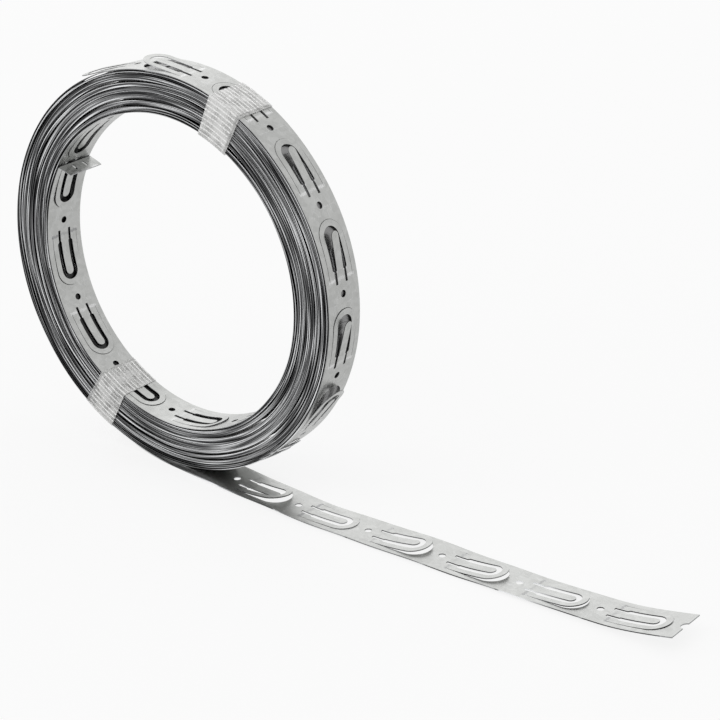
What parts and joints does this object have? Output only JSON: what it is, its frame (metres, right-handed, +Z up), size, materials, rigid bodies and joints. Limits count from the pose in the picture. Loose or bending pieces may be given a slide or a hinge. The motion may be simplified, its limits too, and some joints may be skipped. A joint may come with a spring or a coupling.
{
  "type": "perforated mounting strap coil",
  "caption": "Coil of perforated steel mounting strap standing on its rim, outer end drawn out along the floor, held by bands of ribbed adhesive tape.",
  "frame": {"origin": "on the floor under the middle of the whole part's bounding box", "axes": "+Z up, +X along the drawn-out end away from the coil, Y along the coil's axis with the drawn-out end drifting to -Y"},
  "size_m": [0.3462, 0.0319, 0.1794],
  "materials": {
    "galvanised_steel": "zinc-coated sheet steel, satin, with sheared bright edges",
    "ribbed_tape": "translucent white tape with raised fibre ribs along its length"
  },
  "bodies": {
    "root": {"strap": "galvanised_steel", "upper_tape_band": "ribbed_tape", "lower_tape_band": "ribbed_tape"}
  },
  "joints": []
}
